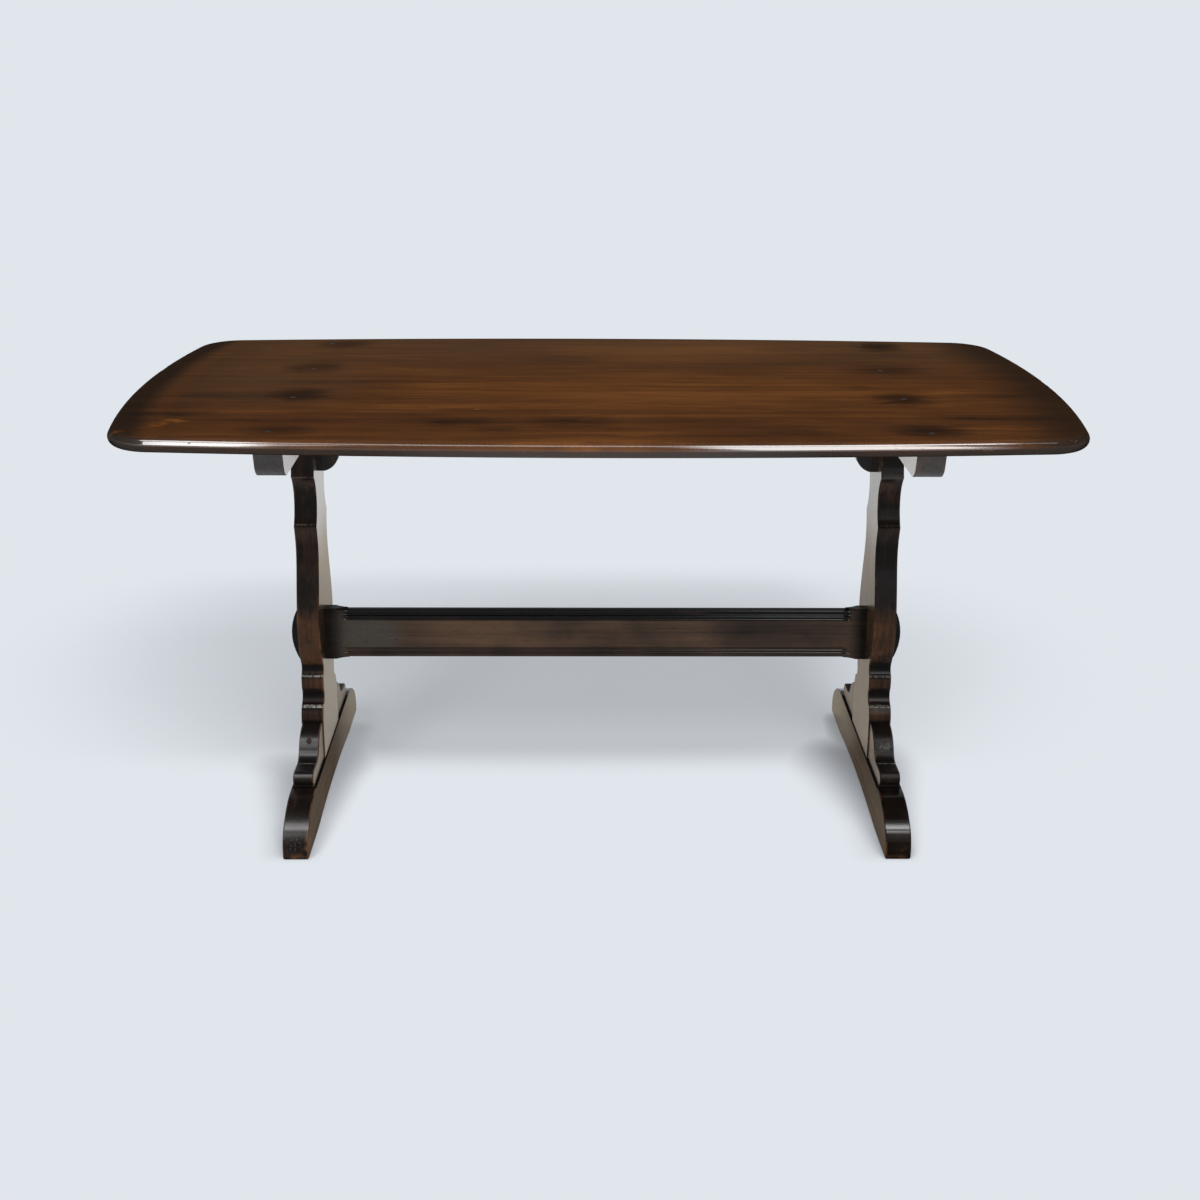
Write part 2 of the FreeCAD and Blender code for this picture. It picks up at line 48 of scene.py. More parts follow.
# A shader socket that takes part in Python sums
class Signal:
    def __init__(self, finish, socket):
        self.finish = finish
        self.socket = socket

    def __add__(self, other):
        return self.finish.maths("ADD", self, other)

    def __radd__(self, other):
        return self.finish.maths("ADD", other, self)

    def __sub__(self, other):
        return self.finish.maths("SUBTRACT", self, other)

    def __rsub__(self, other):
        return self.finish.maths("SUBTRACT", other, self)

    def __mul__(self, other):
        return self.finish.maths("MULTIPLY", self, other)

    def __truediv__(self, other):
        return self.finish.maths("DIVIDE", self, other)

    def __abs__(self):
        return self.finish.maths("ABSOLUTE", self)


# The nodes of one material or of the world
class Finish:
    def __init__(self, owner):
        owner.use_nodes = True
        self.owner = owner
        self.tree = owner.node_tree
        self.tree.nodes.clear()

    # Any node: its settings first, then its sockets' values or links
    def node(self, kind, settings=None, sockets=None, output=0):
        made = self.tree.nodes.new(kind)
        for name, value in (settings or {}).items():
            setattr(made, name, value)
        for name, value in (sockets or {}).items():
            if isinstance(value, Signal):
                self.tree.links.new(value.socket, made.inputs[name])
            else:
                made.inputs[name].default_value = value
        if output is None:
            return [Signal(self, socket) for socket in made.outputs]
        return Signal(self, made.outputs[output])

    def maths(self, operation, first, second=0.0):
        return self.node("ShaderNodeMath", {"operation": operation}, {0: first, 1: second})

    def larger(self, first, second):
        return self.maths("MAXIMUM", first, second)

    def smaller(self, first, second):
        return self.maths("MINIMUM", first, second)

    def largest(self, signals):
        return functools.reduce(self.larger, signals)

    # 0 below low, 1 above high, smooth between
    def rise(self, value, low, high):
        return self.node("ShaderNodeMapRange", {"interpolation_type": "SMOOTHSTEP"},
                         {"Value": value, "From Min": low, "From Max": high})

    # 1 below low, 0 above high, smooth between
    def fall(self, value, low, high):
        return 1.0 - self.rise(value, low, high)

    # Several falls added up, each with its share
    def falls(self, value, rows):
        return sum(self.fall(value, low, high) * share for low, high, share in rows)

    # 1 within reach of a place, fading to 0 over the soft width
    def band(self, value, place, reach, soft):
        return self.fall(abs(value - place), reach, reach + soft)

    # Several bands added up, each with its share
    def bands(self, value, rows):
        return sum(self.band(value, *sizes) * share for *sizes, share in rows)

    def vector(self, x, y, z):
        return self.node("ShaderNodeCombineXYZ", None, {0: x, 1: y, 2: z})

    def split(self, vector):
        return self.node("ShaderNodeSeparateXYZ", None, {0: vector}, output=None)

    def length(self, vector):
        return self.node("ShaderNodeVectorMath", {"operation": "LENGTH"}, {0: vector},
                         output="Value")

    # A place counted in cells, so many to the metre along each axis
    def cells(self, at, countX, countY, countZ, shift=0.0):
        return self.vector(at.x * countX, at.y * countY, at.z * countZ + shift)

    def noise(self, vector, detail=2.0, roughness=0.5):
        return self.node("ShaderNodeTexNoise", {"noise_dimensions": "3D"},
                         {"Vector": vector, "Scale": 1.0, "Detail": detail, "Roughness": roughness})

    def blend(self, share, first, second):
        return self.node("ShaderNodeMix", {"data_type": "RGBA"},
                         {0: share, 6: first, 7: second}, output=2)

    # The colour that belongs to a value, between colours given at a few places
    def ramp(self, value, places, colours):
        made = self.tree.nodes.new("ShaderNodeValToRGB")
        stops = made.color_ramp.elements
        while len(stops) < len(places):
            stops.new(0.5)
        for stop, place, colour in zip(stops, places, colours):
            stop.position = place
            stop.color = colour
        self.tree.links.new(value.socket, made.inputs[0])
        return Signal(self, made.outputs[0])

    # An ellipsoid round a place: its strength inside the core and 0 at its rim.
    # A place with two sizes lies at 0 on the third axis.
    def patch(self, vector, place, reach, strength=1.0, core=0.15):
        sizes = (*reach, 1.0)[:3]
        grown = [1.0 / size for size in sizes]
        moved = [-at / size for at, size in zip((*place, 0.0), sizes)]
        offset = self.node("ShaderNodeVectorMath", {"operation": "MULTIPLY_ADD"},
                           {0: vector, 1: grown, 2: moved})
        return self.node("ShaderNodeMapRange", {"interpolation_type": "SMOOTHSTEP"},
                         {"Value": self.length(offset), "From Min": core, "From Max": 1.0,
                          "To Min": strength, "To Max": 0.0})

    # The strongest of several patches, each a row of its place, its reaches and its strength
    def patches(self, vector, rows):
        spots = []
        for *sizes, strength in rows:
            axes = len(sizes) // 2
            spots.append(self.patch(vector, sizes[:axes], sizes[axes:], strength))
        return self.largest(spots)

    def finishWith(self, shader):
        self.node("ShaderNodeOutputMaterial", None, {"Surface": shader}, output=None)


def newFinish(name):
    return Finish(bpy.data.materials.new(name))


# Where a point of the surface lies in the table's own metres, and the way that it faces
def spotOn(finish):
    x, y, z = finish.split(finish.node("ShaderNodeTexCoord", output="Object"))
    nx, ny, nz = finish.split(finish.node("ShaderNodeNewGeometry", output="Normal"))
    return SimpleNamespace(x=x, y=y, z=z, nx=nx, ny=ny, nz=nz)


# 0 where the surface is looked at squarely, towards 1 where it is seen at a slant
def slantOf(finish):
    return finish.node("ShaderNodeLayerWeight", None, {"Blend": 0.5}, output="Facing")


# Wood

woodGrain = {
    "streakLength": 0.55,      # broad streaks, metres
    "streakWidth": 0.021,
    "lineLength": 0.16,        # fine growth lines
    "lineWidth": 0.0042,
    "poreLength": 0.014,
    "poreWidth": 0.0007,
    "roughness": 0.55,
    "wander": 0.012,           # how far the lines leave a straight course
    "wanderAlong": 1.7,        # and how often, along and across the board
    "wanderAcross": 5.0,
    "poreStain": (0.58, 0.72),     # from where to where a pore darkens the wood
    "poreDent": (0.60, 0.72),      # and dents it
    "lineHeight": 0.5,
    "bumpDepth": 0.00025,
}


# Grain in the object's own metres: along, across and depth are the board's directions
def grainOf(finish, along, across, depth, seed, spread=1.0):
    look = woodGrain
    slow = finish.vector(along * look["wanderAlong"] + seed, across * look["wanderAcross"],
                         depth * look["wanderAcross"])
    wander = (finish.noise(slow) - 0.5) * look["wander"]
    side = across + wander

    def streaks(length, width, detail, shift):
        place = finish.vector(along / length + seed * shift, side / (width * spread),
                              depth / (width * spread) + shift)
        return finish.noise(place, detail, look["roughness"])

    return {
        "broad": streaks(look["streakLength"], look["streakWidth"], 2.0, 1.0),
        "line": streaks(look["lineLength"], look["lineWidth"], 3.0, 2.3),
        "pore": streaks(look["poreLength"], look["poreWidth"], 1.0, 3.1),
        "wander": wander,
    }


# The last steps that all the woods share: bump, gloss, the shader itself and a waxy sheen
def varnished(finish, look, grain, colour, roughness, coat, dents, sheen=None, clear=0.0):
    pores = finish.rise(grain["pore"], *woodGrain["poreDent"])
    height = grain["line"] * woodGrain["lineHeight"] - pores * look["poreBump"] - dents
    bump = finish.node("ShaderNodeBump", None, {
        "Strength": look["bump"], "Distance": woodGrain["bumpDepth"], "Height": height})
    shader = finish.node("ShaderNodeBsdfPrincipled", None, {
        "Base Color": colour, "Roughness": roughness, "Normal": bump, "Coat Weight": coat,
        "Coat Roughness": look["coatRoughness"], "Coat IOR": look["coatIor"],
        "Specular IOR Level": look["specular"]})
    if sheen is not None:
        waxed, polished = [
            finish.node("ShaderNodeBsdfAnisotropic", None, {
                "Color": look[tone], "Roughness": look["waxRoughness"], "Normal": bump})
            for tone in ("waxColour", "clearColour")]
        gloss = finish.node("ShaderNodeMixShader", None, {0: clear, 1: waxed, 2: polished})
        shader = finish.node("ShaderNodeMixShader", None, {0: sheen, 1: shader, 2: gloss})
    finish.finishWith(shader)
    return finish.owner


# Top

topLook = {
    "dark": tint(46, 31, 22),
    "middle": tint(84, 52, 29),
    "light": tint(122, 76, 38),
    "tones": (0.05, 0.45, 0.92),       # the tone at which each of these three shows
    # the grey of the painted reflection towards the back and of a patch at the left
    "sheenVeil": tint(84, 68, 52),
    "stain": tint(24, 21, 19),
    # the stain of the ends, back and corners, also used for the painted shade on the rim's lower
    # side
    "edgeStainAndShade": tint(32, 27, 22),
    "worn": tint(138, 80, 34),
    "chipped": tint(120, 92, 72),
    "specular": 0.0,
    "coatIor": 2.4,
    "coatRoughness": 0.09,
    "roughness": 0.42,
    "bump": 0.30,
    "poreBump": 0.35,
    "poreShare": 0.15,
    "boardWidth": 0.205,
    "boardShift": (3.7, 1.31),         # from one board's grain to the next one's
    "grainSeed": 4.0,
    "grainSpread": 1.5,
    # cells to the metre along X and Y, and to a board
    "mottleCells": (16.0, 55.0, 4.0),
    "cloudCells": (2.6, 7.0, 2.0),
    # what each pattern adds to the tone
    "meanTone": 0.38, "broadTone": 0.50, "lineTone": 0.42, "mottleTone": 0.28, "cloudTone": 0.4,
    "lightTone": 0.30,
    # the dark streaks' mean strength, and how far lines and mottle break them up
    "darkTone": 0.26, "darkLines": 0.9, "darkMottle": 1.3,
    # how far the marks follow the mottle, and how far each way they are then moved
    "driftMottle": 0.05, "driftX": 1.6, "driftY": 0.8,
    # the mean of stain and wear, and how far the mottle breaks them up
    "stainMean": 0.85, "stainMottle": 0.8,
    "wornMean": 0.45, "wornMottle": 2.2, "wornMost": 0.95,
    # the joints between the boards, metres
    "seamReach": 0.0002, "seamSoft": 0.0006, "seamShare": 0.25, "seamDepth": 0.8,
    "smudgeCells": (6.0, 11.0, 0.0, 3.0), "smudgeRoughness": 0.16, "nickRoughness": 0.2,
    # middle X, middle Y, reach along X, reach along Y, strength
    "plugStains": [
        (-0.462, 0.312, 0.080, 0.052, 0.60), (-0.484, 0.118, 0.070, 0.066, 0.60),
        (-0.482, -0.086, 0.068, 0.066, 0.80), (-0.478, -0.308, 0.080, 0.046, 0.55),
        (0.522, 0.302, 0.064, 0.066, 0.80), (0.496, 0.100, 0.100, 0.056, 0.60),
        (0.490, -0.103, 0.074, 0.066, 0.90), (0.490, -0.304, 0.084, 0.056, 0.85),
    ],
    "darkStreaks": [
        (-0.42, 0.008, 0.22, 0.020, 0.8), (-0.36, -0.036, 0.09, 0.018, 0.5),
        (-0.60, -0.088, 0.11, 0.024, 0.6), (-0.665, -0.212, 0.09, 0.026, 0.8),
        (-0.49, -0.248, 0.17, 0.036, 0.6), (-0.225, -0.250, 0.11, 0.040, 0.8),
        (-0.035, -0.250, 0.10, 0.050, 0.8), (-0.152, -0.310, 0.05, 0.040, 0.6),
        (0.15, -0.250, 0.15, 0.034, 0.5), (0.30, -0.312, 0.08, 0.026, 0.4),
        (0.62, -0.226, 0.17, 0.022, 0.9), (0.50, 0.144, 0.12, 0.018, 0.5),
        (0.27, 0.150, 0.22, 0.020, 0.5), (0.345, 0.276, 0.07, 0.030, 0.4),
        (0.10, 0.300, 0.07, 0.028, 0.3), (-0.05, 0.186, 0.10, 0.046, 0.5),
        (-0.24, 0.142, 0.16, 0.034, 0.4), (0.24, 0.074, 0.10, 0.026, 0.4),
        (0.436, -0.024, 0.03, 0.022, 0.6), (0.40, -0.128, 0.16, 0.020, 0.3),
        (0.66, -0.078, 0.12, 0.022, 0.6), (-0.12, -0.352, 0.12, 0.014, 0.4),
    ],
    "lightStreaks": [
        (0.12, -0.060, 0.66, 0.240, 0.80), (0.16, 0.260, 0.40, 0.150, 0.80),
        (-0.02, -0.362, 0.20, 0.030, 0.8), (0.06, -0.322, 0.10, 0.026, 0.5),
        (-0.54, -0.196, 0.12, 0.020, 0.6), (-0.30, 0.250, 0.30, 0.090, 0.3),
        (0.56, -0.045, 0.12, 0.040, 0.6), (-0.20, -0.160, 0.26, 0.036, 0.5),
        (0.60, -0.285, 0.12, 0.016, 0.6), (0.30, 0.020, 0.24, 0.040, 0.6),
        (0.60, 0.300, 0.10, 0.060, 0.4), (-0.46, -0.140, 0.16, 0.030, 0.4),
    ],
    "wornPatches": [
        (-0.642, -0.254, 0.030, 0.018, 1.5), (-0.188, -0.178, 0.004, 0.008, 1.6),
        (-0.662, -0.276, 0.018, 0.016, 1.5), (-0.712, -0.318, 0.018, 0.006, 0.6),
    ],
    # the painted greyish reflection towards the back: its start and full strength along Y and its
    # share, and a greyer patch
    "reflectionBack": (-0.05, 0.42, 0.42),
    "greyPatches": [(-0.56, 0.12, 0.30, 0.40, 0.30)],
}


# Light and dark wood, before any stain
def topColour(finish, grain, mottle, cloud, spots):
    look = topLook
    fine = grain["line"] - 0.5
    tone = (grain["broad"] - 0.5) * look["broadTone"] + fine * look["lineTone"]
    tone = tone + mottle * look["mottleTone"] + look["meanTone"]
    tone = tone + finish.patches(spots, look["lightStreaks"]) * look["lightTone"]
    broken = fine * look["darkLines"] + mottle * look["darkMottle"] + look["darkTone"]
    tone = tone - finish.patches(spots, look["darkStreaks"]) * broken
    tone = tone + (cloud - 0.5) * look["cloudTone"]
    return finish.ramp(tone, look["tones"], (look["dark"], look["middle"], look["light"]))


edgeLook = {
    # the arcs of the plan, and how far the mottle moves a band
    "endRadius": 1.700, "sideRadius": 8.800,
    "ragged": 0.010,
    # metres from the edge at which a band of stain begins to fade and has gone, and its share
    "leftBands": [(0.030, 0.062, 0.55), (0.040, 0.200, 0.30)],
    "rightBands": [(0.020, 0.140, 0.76)],
    "cornerStart": (0.45, 0.70),       # from the middle along X
    "cornerBands": [(0.0, 0.060, 0.35)],
    "backBand": (0.350, 0.380, 0.55),  # along Y
    # a faint line of bare wood along the left end: metres from the edge, half width,
    # soft width and share
    "leftLine": [(0.070, 0.004, 0.016, 0.04)],
}


# Darker bands along the ends, the back and round the corners, and the line along the left end
def stainEdge(finish, colour, at, mottle):
    look = edgeLook
    halfLength, halfWidth = cadBox[1][:2]
    endX = abs(at.x) + (look["endRadius"] - halfLength)
    sideY = abs(at.y) + (look["sideRadius"] - halfWidth)
    fromEnd = look["endRadius"] - finish.length(finish.vector(endX, at.y, 0.0))
    fromEnd = fromEnd + mottle * look["ragged"]
    fromSide = look["sideRadius"] - finish.length(finish.vector(at.x, sideY, 0.0))
    rightEnd = finish.rise(at.x, 0.0, 0.001)
    leftEnd = 1.0 - rightEnd
    backStart, backFull, backShare = look["backBand"]
    edge = finish.largest([
        finish.falls(fromEnd, look["leftBands"]) * leftEnd,
        finish.falls(fromEnd, look["rightBands"]) * rightEnd,
        finish.falls(fromSide, look["cornerBands"]) * finish.rise(abs(at.x), *look["cornerStart"]),
        finish.rise(at.y, backStart, backFull) * backShare,
    ])
    colour = finish.blend(edge, colour, topLook["edgeStainAndShade"])
    return finish.blend(finish.bands(fromEnd, look["leftLine"]) * leftEnd, colour, topLook["worn"])


rimLook = {
    # how far up the surface looks where the rim begins, and where its lower side, darkened with
    # painted shade, does
    "start": (0.80, 0.985), "low": (-0.12, 0.14),
    "lowShadeShare": 0.80,
    # the darker stain of the rim's ends, from the middle along X
    "endStart": (0.58, 0.66), "endShare": 0.55,
    "nickCells": (60.0, 60.0, 260.0), "nickNoise": (0.66, 0.72),
    "nickStart": (0.20, 0.60), "nickShare": 0.35,
    # the coat: over which normals, its strength, and two brighter stretches of the front,
    # each with where it begins and where it ends along X and what it adds
    "coatBelow": (-0.10, 0.16), "coatAbove": (0.66, 0.86),
    "coat": 0.24,
    "stretches": [((-0.735, -0.615), (-0.53, -0.46), 0.56), ((0.10, 0.20), (0.56, 0.63), 0.66)],
    # what the coat loses towards the left and the right end
    "leftLoss": (-0.72, -0.64, 0.20), "rightLoss": (0.56, 0.63, 0.21),
    # the coat of the lower side, in the middle of the front
    "lowCoat": 0.26, "lowMiddle": (0.15, 0.45),
    # the flat's coat: it shines where looked at steeply, and hardly at a slant
    "flatCoat": 0.10, "flatSlant": (0.42, 0.72),
    "undersideTop": (0.7062, 0.7075), "undersideLoss": 0.9,
    "nickLoss": 0.7,
}


def topCoat(finish, at, low, nicks):
    look = rimLook
    stretches = look["coat"] + finish.largest([
        finish.rise(at.x, *start) * finish.fall(at.x, *end) * strength
        for start, end, strength in look["stretches"]])
    leftEnd, leftFull, leftLoss = look["leftLoss"]
    rightStart, rightFull, rightLoss = look["rightLoss"]
    stretches = stretches - finish.fall(at.x, leftEnd, leftFull) * leftLoss
    stretches = stretches - finish.rise(at.x, rightStart, rightFull) * rightLoss
    upperSide = finish.rise(at.nz, *look["coatBelow"]) * finish.fall(at.nz, *look["coatAbove"])
    lowerSide = low * finish.fall(abs(at.x), *look["lowMiddle"]) * look["lowCoat"]
    flat = finish.fall(slantOf(finish), *look["flatSlant"]) * look["flatCoat"]
    underside = finish.fall(at.z, *look["undersideTop"])
    coat = finish.largest([upperSide * stretches, lowerSide, flat])
    return coat * (1.0 - underside * look["undersideLoss"]) * (1.0 - nicks * look["nickLoss"])


def topFinish():
    look = topLook
    rimMarks = rimLook
    finish = newFinish("topWood")
    at = spotOn(finish)

    # each board has grain of its own
    board = finish.maths("FLOOR", at.y / look["boardWidth"])
    shiftX, shiftY = look["boardShift"]
    grain = grainOf(finish, at.x + board * shiftX, at.y + board * shiftY, at.z,
                    look["grainSeed"], look["grainSpread"])
    onBoard = SimpleNamespace(x=at.x, y=at.y, z=board)
    mottle = finish.noise(finish.cells(onBoard, *look["mottleCells"]), detail=3.0,
                          roughness=0.6) - 0.5
    cloud = finish.noise(finish.cells(onBoard, *look["cloudCells"]))
    drift = grain["wander"] + mottle * look["driftMottle"]
    spots = finish.vector(at.x + drift * look["driftX"], at.y + drift * look["driftY"], 0.0)

    colour = topColour(finish, grain, mottle, cloud, spots)
    # a painted greyish reflection towards the back, and a greyer patch at the left
    reflectionStart, reflectionFull, reflectionShare = look["reflectionBack"]
    greyedTop = finish.larger(finish.rise(at.y, reflectionStart, reflectionFull) * reflectionShare,
                          finish.patches(spots, look["greyPatches"]))
    colour = finish.blend(greyedTop, colour, look["sheenVeil"])

    # stain gathered round the plugs and at the edge, worn spots and dark pores
    uneven = mottle * look["stainMottle"] + look["stainMean"]
    plugStain = finish.patches(spots, look["plugStains"]) * uneven
    colour = finish.blend(plugStain, colour, look["stain"])
    colour = stainEdge(finish, colour, at, mottle)
    uneven = mottle * look["wornMottle"] + look["wornMean"]
    worn = finish.larger(finish.patches(spots, look["wornPatches"]) * uneven, 0.0)
    colour = finish.blend(finish.smaller(worn, look["wornMost"]), colour, look["worn"])
    pores = finish.rise(grain["pore"], *woodGrain["poreStain"])
    colour = finish.blend(pores * look["poreShare"], colour, look["stain"])

    # joints between the boards, one in the middle and one each side of it
    seam = finish.largest([
        finish.band(abs(at.y), place, look["seamReach"], look["seamSoft"])
        for place in (look["boardWidth"], 0.0)])
    colour = finish.blend(seam * look["seamShare"], colour, look["stain"])

    # the rim: brown and polished above, dull below and darkened there with painted shade, nicked
    # near both ends
    rim = finish.fall(at.nz, *rimMarks["start"])
    low = finish.fall(at.nz, *rimMarks["low"])
    ends = finish.rise(abs(at.x), *rimMarks["endStart"])
    rimShadeAndStain = finish.larger(low * rimMarks["lowShadeShare"], ends * rimMarks["endShare"])
    colour = finish.blend(rim * rimShadeAndStain, colour, look["edgeStainAndShade"])
    nicks = finish.noise(finish.cells(at, *rimMarks["nickCells"]), roughness=0.6)
    nicks = finish.rise(nicks, *rimMarks["nickNoise"]) * rim
    nicks = nicks * finish.rise(abs(at.x), *rimMarks["nickStart"])
    colour = finish.blend(nicks * rimMarks["nickShare"], colour, look["chipped"])

    smudge = finish.noise(finish.cells(at, *look["smudgeCells"]), detail=3.0) - 0.5
    roughness = look["roughness"] + smudge * look["smudgeRoughness"]
    roughness = roughness + nicks * look["nickRoughness"]
    coat = topCoat(finish, at, low, nicks)
    dents = seam * look["seamDepth"]
    return varnished(finish, look, grain, colour, roughness, coat, dents)


# Trestles and stretcher

frameLook = {
    "dark": tint(11, 8, 7),
    "middle": tint(25, 18, 14),
    "light": tint(64, 42, 27),
    "faceDark": tint(44, 32, 23),      # the broad faces took less stain
    "faceMiddle": tint(76, 56, 40),
    "faceLight": tint(104, 78, 55),
    "tones": (0.10, 0.50, 0.95),       # the tone at which each of the three shows
    # what each pattern adds to the tone
    "meanTone": 0.46, "broadTone": 0.9, "lineTone": 0.7, "cloudTone": 0.8,
    "contrast": 1.0,
    "cloudCells": (9.0, 9.0, 9.0),
    # near black: for the pores, and for painted shade, painted shadow and darker joint lines
    "stain": tint(9, 8, 7),
    "worn": tint(100, 66, 40),
    # the grey of a painted sheen
    "sheenVeil": tint(60, 58, 52),
    # pale: painted highlights on ridges and the ear scroll, also pale scratches and scuffs
    "highlightAndScuff": tint(172, 170, 164),
    "poreShare": 0.5,
    "ridgeCells": (420.0, 160.0, 160.0), "ridgeNoise": (0.40, 0.60), "ridgeLeast": 0.08,
    "specular": 0.06,
    "coatIor": 1.7,
    "coatRoughness": 0.13,
    "faceCoat": 0.18,
    "upperCoat": 0.75,                 # added where a surface looks up
    "upperStart": (0.25, 0.62),
    "slantCoat": 0.15,                 # and where it is looked at along its length
    "slantStart": (0.50, 0.88),
    "waxColour": tint(205, 188, 166),
    "clearColour": tint(226, 222, 218),
    "waxRoughness": 0.22,
    "wax": 0.62,
    "roughness": 0.42,
    "smudgeCells": (14.0, 14.0, 14.0), "smudgeRoughness": 0.2, "smudgeCoat": 0.5,
    "bump": 0.45,
    "poreBump": 0.5,
    "dentSize": 0.011, "dentNoise": (0.60, 0.80), "dentDepth": 0.7,
    "darkMost": 0.95, "darkDulling": 0.9,
    # a darker line at the joint above the foot, along Z
    "footJointDark": (0.0805, 0.0830),
    # where the right trestle begins along X, and the normals of broad faces and of edges
    "rightStart": (-0.1, 0.1), "broadFace": (0.80, 0.95), "edgeFace": (0.5, 0.9),
}

arrisLook = {
    "cells": (34.0, 34.0, 34.0),       # wear comes in patches of this noise
    "rubbedNoise": (0.46, 0.68),
    "bareNoise": (0.34, 0.50),
    "turn": (0.25, 0.55), "turnShare": 0.7,    # where the surface turns into the broad face
    "near": (0.0045, 0.0010), "nearShare": 0.35,   # metres in from the broad face
    "bare": (0.0008, 0.0032),
    "most": 0.85,
}


# Wear of the arrises between the sawn edges and the broad faces of a piece.
# Sawn is the middle and half the thickness of the piece along X.
def arrisWear(finish, at, seed, sawn, changes):
    look = arrisLook
    centre, half = sawn
    edge = 1.0 - at.broadFace
    patchy = finish.noise(finish.cells(at, *look["cells"], seed), detail=3.0, roughness=0.6)
    farIn, nearIn = look["near"]
    turn = finish.rise(abs(at.nx), *look["turn"]) * edge
    near = finish.rise(abs(abs(at.x) - centre), half - farIn, half - nearIn) * edge
    worn = finish.larger(turn * look["turnShare"], near * look["nearShare"])
    if "rubbed" in changes:
        worn = finish.larger(changes["rubbed"], worn)
    worn = worn * finish.rise(patchy, *look["rubbedNoise"])
    if "arrisWear" in changes:
        # the arris towards the middle of the table is worn to bare wood
        start, end = look["bare"]
        inner = finish.fall(abs(at.x), centre - half + start, centre - half + end)
        inner = inner * edge * finish.rise(patchy, *look["bareNoise"])
        worn = finish.larger(worn, inner * changes["arrisWear"])
    return finish.smaller(worn, look["most"])


# The wood's colour with its wear, stains and pale scratches, and with painted shade, painted
# highlights and a painted sheen
def frameColour(finish, look, at, seed, sawn, changes):
    cloud = finish.noise(finish.cells(at, *look["cloudCells"], seed)) - 0.5
    streaks = (at.grain["broad"] - 0.5) * look["broadTone"]
    streaks = streaks + (at.grain["line"] - 0.5) * look["lineTone"]
    tone = look["meanTone"] + streaks * look["contrast"] + cloud * look["cloudTone"]
    tone = tone + changes.get("tone", 0.0)
    colour = finish.ramp(tone, look["tones"], (look["dark"], look["middle"], look["light"]))
    if sawn is not None:
        faceColour = finish.ramp(tone, look["tones"],
                                 (look["faceDark"], look["faceMiddle"], look["faceLight"]))
        colour = finish.blend(at.broadFace, colour, faceColour)
        colour = finish.blend(arrisWear(finish, at, seed, sawn, changes), colour, look["worn"])
    # a painted grey sheen
    if "sheenVeil" in changes:
        colour = finish.blend(changes["sheenVeil"], colour, look["sheenVeil"])
    pores = finish.rise(at.grain["pore"], *woodGrain["poreStain"])
    colour = finish.blend(pores * look["poreShare"], colour, look["stain"])
    # painted shade in coves and grooves, painted shadow beside the legs, and darker joint lines
    if "shadeAndJointDark" in changes:
        shadeAndJointDark = finish.smaller(changes["shadeAndJointDark"], look["darkMost"])
        colour = finish.blend(shadeAndJointDark, colour, look["stain"])
    # painted highlights on ridges and the ear scroll, and pale scratches and scuffs
    if "highlightAndScuff" in changes:
        speckle = finish.noise(finish.cells(at, *look["ridgeCells"]))
        speckle = finish.rise(speckle, *look["ridgeNoise"]) * (1.0 - look["ridgeLeast"])
        highlightAndScuff = changes["highlightAndScuff"] * (speckle + look["ridgeLeast"])
        colour = finish.blend(highlightAndScuff, colour, look["highlightAndScuff"])
    return colour


# Each kind of piece names the way its grain runs and where it is rubbed or darkened
def frameFinish(name, grainAxis, seed, sawn=None, extra=None, tones=None):
    look = {**frameLook, **(tones or {})}
    finish = newFinish(name)
    at = spotOn(finish)
    directions = {"X": (at.x, at.y, at.z), "Y": (at.y, at.z, at.x), "Z": (at.z, at.y, at.x)}
    at.grain = grainOf(finish, *directions[grainAxis], seed)
    at.right = finish.rise(at.x, *look["rightStart"])    # 0 at the left, 1 at the right
    at.broadFace = finish.rise(abs(at.nx), *look["broadFace"])
    at.edgeFace = finish.fall(abs(at.nx), *look["edgeFace"])
    changes = {} if extra is None else extra(finish, at)
    colour = frameColour(finish, look, at, seed, sawn, changes)

    dentCells = [1.0 / look["dentSize"]] * 3
    dents = finish.noise(finish.cells(at, *dentCells), detail=1.0)
    dents = finish.rise(dents, *look["dentNoise"]) * look["dentDepth"]
    smudge = finish.noise(finish.cells(at, *look["smudgeCells"]), detail=3.0) - 0.5
    roughness = look["roughness"] + smudge * look["smudgeRoughness"]
    slanted = finish.rise(slantOf(finish), *look["slantStart"])
    upper = finish.rise(at.nz, *look["upperStart"]) * (1.0 - at.broadFace)
    coat = (look["faceCoat"] + upper * look["upperCoat"]) * changes.get("polish", 1.0)
    coat = (coat + slanted * look["slantCoat"]) * (1.0 + smudge * look["smudgeCoat"])
    if "shadeAndJointDark" in changes:
        coat = coat * (1.0 - finish.smaller(changes["shadeAndJointDark"], look["darkDulling"]))
    sheen = None
    if sawn is not None:
        sheen = at.broadFace * slanted * look["wax"] * changes.get("wax", 1.0)
    return varnished(finish, look, at.grain, colour, roughness, coat, dents, sheen,
                     changes.get("clear", 0.0))


# A value that differs between the trestles, given for the left one and the right one
def sided(at, values):
    left, right = values
    return at.right * (right - left) + left


